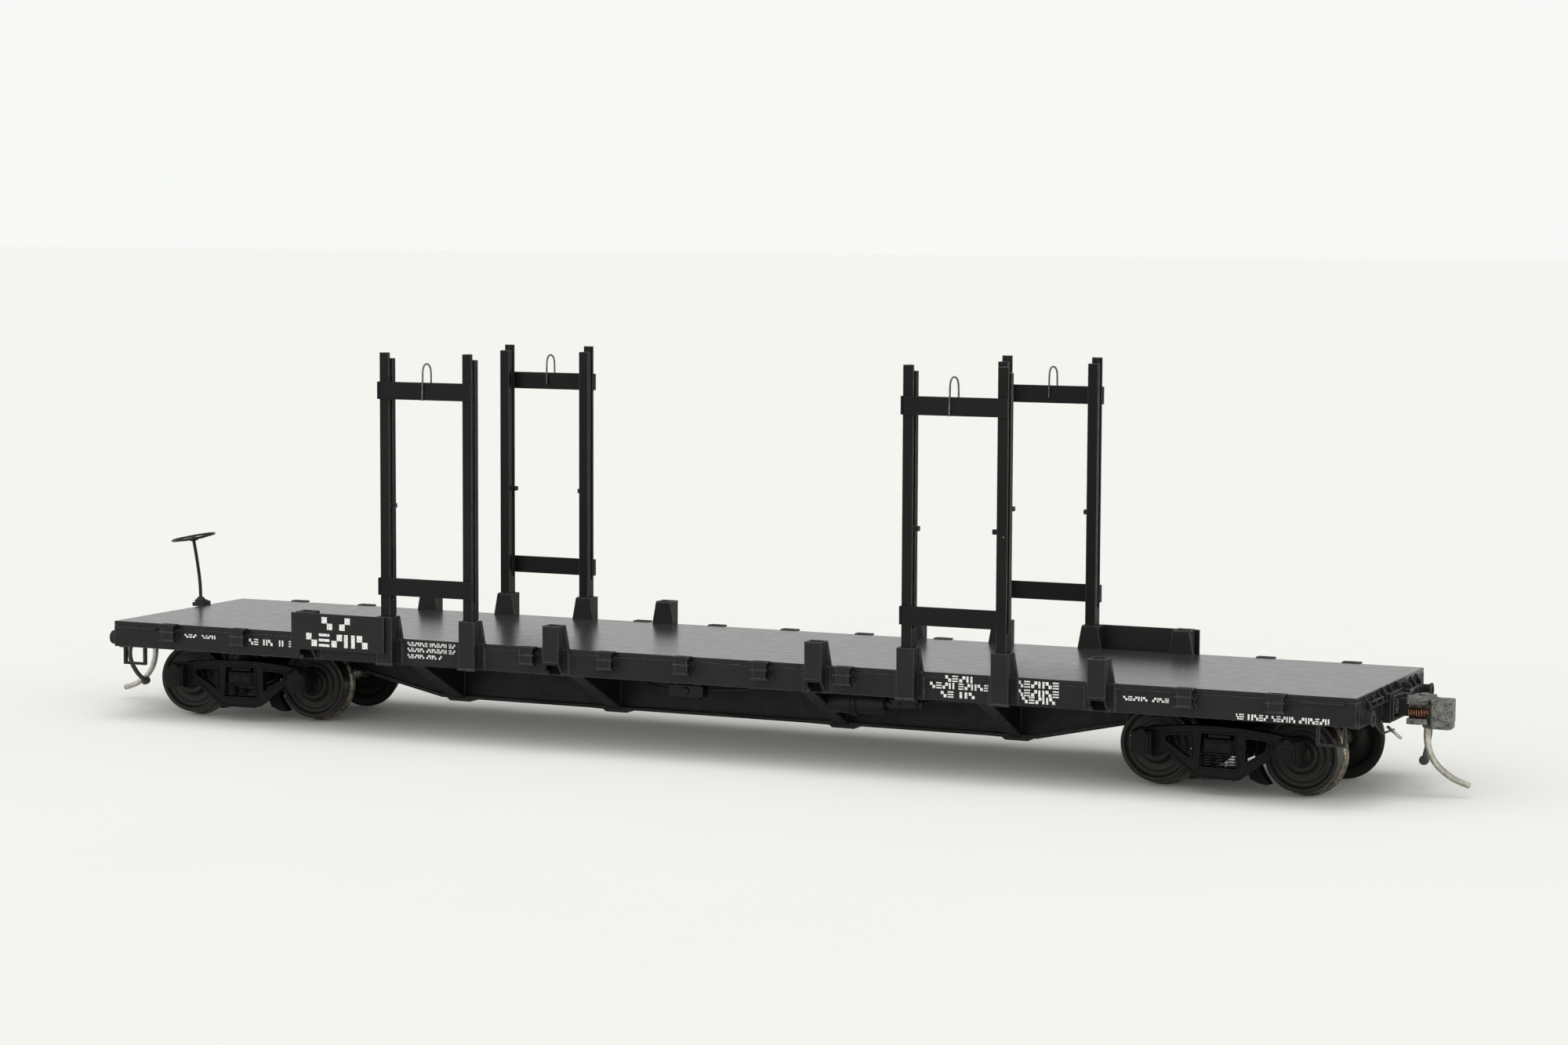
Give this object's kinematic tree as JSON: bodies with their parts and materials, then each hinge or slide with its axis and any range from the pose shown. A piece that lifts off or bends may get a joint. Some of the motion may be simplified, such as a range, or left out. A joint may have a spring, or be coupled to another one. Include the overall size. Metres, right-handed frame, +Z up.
{
  "type": "model railway flat car",
  "caption": "Scale model log flat car with lift-out stake frames, fishbelly underframe, swivelling trucks with rolling wheelsets and sprung knuckle couplers.",
  "frame": {"origin": "on the rail line, at the lowest point of the wheel flanges, below the middle of the car", "axes": "+X along the car away from the handbrake end, +Y across the car, +Z up"},
  "size_m": [0.2032, 0.0372, 0.0532],
  "materials": {
    "deck_plastic": "matte black, faintly dusty",
    "body_plastic": "matte black paint over moulded plastic",
    "truck_plastic": "satin black moulding",
    "stake_plastic": "satin black moulding",
    "wheel_metal": "blackened metal wheel, bright brown tread",
    "axle_steel": "turned steel",
    "coupler_metal": "rough dark grey casting",
    "pin_steel": "dull steel",
    "spring_copper": "copper coloured wire",
    "fittings_metal": "black painted metal",
    "wire_steel": "dark bent wire"
  },
  "bodies": {
    "car": {"deck_plate": "deck_plastic", "underframe": "body_plastic", "side_sill_front": "body_plastic", "sign_board_front": "body_plastic", "side_sill_back": "body_plastic", "sign_board_back": "body_plastic", "end_sill_left": "body_plastic", "draft_gear_box_left": "body_plastic", "kingpin_screw_left": "axle_steel", "end_sill_right": "body_plastic", "draft_gear_box_right": "body_plastic", "kingpin_screw_right": "axle_steel", "brake_staff": "fittings_metal"},
    "truck_left": {"side_frame_left_front": "truck_plastic", "side_frame_left_back": "truck_plastic", "truck_bolster_left": "truck_plastic"},
    "truck_right": {"side_frame_right_front": "truck_plastic", "side_frame_right_back": "truck_plastic", "truck_bolster_right": "truck_plastic"},
    "wheelset_left_a": {"axle_left_a": "axle_steel", "wheel_left_a_front": "wheel_metal", "wheel_left_a_back": "wheel_metal"},
    "wheelset_left_b": {"axle_left_b": "axle_steel", "wheel_left_b_front": "wheel_metal", "wheel_left_b_back": "wheel_metal"},
    "wheelset_right_a": {"axle_right_a": "axle_steel", "wheel_right_a_front": "wheel_metal", "wheel_right_a_back": "wheel_metal"},
    "wheelset_right_b": {"axle_right_b": "axle_steel", "wheel_right_b_front": "wheel_metal", "wheel_right_b_back": "wheel_metal"},
    "coupler_left": {"coupler_head_left": "coupler_metal", "knuckle_spring_left": "spring_copper"},
    "knuckle_unit_left": {"knuckle_left": "coupler_metal", "trip_pin_left": "pin_steel"},
    "coupler_right": {"coupler_head_right": "coupler_metal", "knuckle_spring_right": "spring_copper"},
    "knuckle_unit_right": {"knuckle_right": "coupler_metal", "trip_pin_right": "pin_steel"},
    "handbrake_wheel": {"brake_wheel": "fittings_metal"},
    "stake_frame_front_left": {"stake_front_left_a": "stake_plastic", "stake_front_left_b": "stake_plastic", "upper_board_front_left": "stake_plastic", "lower_board_front_left": "stake_plastic", "wire_loop_front_left": "wire_steel"},
    "stake_frame_front_right": {"stake_front_right_a": "stake_plastic", "stake_front_right_b": "stake_plastic", "upper_board_front_right": "stake_plastic", "lower_board_front_right": "stake_plastic", "wire_loop_front_right": "wire_steel"},
    "stake_frame_back_left": {"stake_back_left_a": "stake_plastic", "stake_back_left_b": "stake_plastic", "upper_board_back_left": "stake_plastic", "lower_board_back_left": "stake_plastic", "wire_loop_back_left": "wire_steel"},
    "stake_frame_back_right": {"stake_back_right_a": "stake_plastic", "stake_back_right_b": "stake_plastic", "upper_board_back_right": "stake_plastic", "lower_board_back_right": "stake_plastic", "wire_loop_back_right": "wire_steel"}
  },
  "joints": [
    {"name": "truck_swivel_left", "type": "hinge", "parent": "car", "child": "truck_left", "pos_m": [-0.0732, 0, 0.009], "axis": [0, 0, 1], "range_deg": [-16.4, 3.6]},
    {"name": "axle_spin_left_a", "type": "hinge", "parent": "truck_left", "child": "wheelset_left_a", "pos_m": [-0.08271, -0.00107, 0.00545], "axis": [-0.1115, 0.9938, 0], "continuous": true},
    {"name": "axle_spin_left_b", "type": "hinge", "parent": "truck_left", "child": "wheelset_left_b", "pos_m": [-0.06369, 0.00107, 0.00545], "axis": [-0.1115, 0.9938, 0], "continuous": true},
    {"name": "coupler_swing_left", "type": "hinge", "parent": "car", "child": "coupler_left", "pos_m": [-0.0846, 0, 0.011], "axis": [0, 0, 1], "range_deg": [-8, 8], "stiffness_Nm_per_rad": 0.002},
    {"name": "knuckle_open_left", "type": "hinge", "parent": "coupler_left", "child": "knuckle_unit_left", "pos_m": [-0.0969, 0.00175, 0.0103], "axis": [0, 0, -1], "range_deg": [0, 25], "stiffness_Nm_per_rad": 0.0005},
    {"name": "truck_swivel_right", "type": "hinge", "parent": "car", "child": "truck_right", "pos_m": [0.0732, 0, 0.009], "axis": [0, 0, 1], "range_deg": [-8.05, 11.95]},
    {"name": "axle_spin_right_a", "type": "hinge", "parent": "truck_right", "child": "wheelset_right_a", "pos_m": [0.06364, 0.00033, 0.00545], "axis": [0.034, 0.9994, 0], "continuous": true},
    {"name": "axle_spin_right_b", "type": "hinge", "parent": "truck_right", "child": "wheelset_right_b", "pos_m": [0.08276, -0.00033, 0.00545], "axis": [0.034, 0.9994, 0], "continuous": true},
    {"name": "coupler_swing_right", "type": "hinge", "parent": "car", "child": "coupler_right", "pos_m": [0.0846, 0, 0.011], "axis": [0, 0, 1], "range_deg": [-8, 8], "stiffness_Nm_per_rad": 0.002},
    {"name": "knuckle_open_right", "type": "hinge", "parent": "coupler_right", "child": "knuckle_unit_right", "pos_m": [0.0969, -0.00175, 0.0103], "axis": [0, 0, -1], "range_deg": [0, 25], "stiffness_Nm_per_rad": 0.0005},
    {"name": "handbrake_turn", "type": "hinge", "parent": "car", "child": "handbrake_wheel", "pos_m": [-0.0928, 0.0063, 0.0237], "axis": [-0.158, -0.072, 0.9848], "continuous": true},
    {"name": "stake_frame_lift_front_left", "type": "slide", "parent": "car", "child": "stake_frame_front_left", "axis": [0, 0, 1], "range_m": [0, 0.012]},
    {"name": "stake_frame_lift_front_right", "type": "slide", "parent": "car", "child": "stake_frame_front_right", "axis": [0, 0, 1], "range_m": [0, 0.012]},
    {"name": "stake_frame_lift_back_left", "type": "slide", "parent": "car", "child": "stake_frame_back_left", "axis": [0, 0, 1], "range_m": [0, 0.012]},
    {"name": "stake_frame_lift_back_right", "type": "slide", "parent": "car", "child": "stake_frame_back_right", "axis": [0, 0, 1], "range_m": [0, 0.012]}
  ]
}
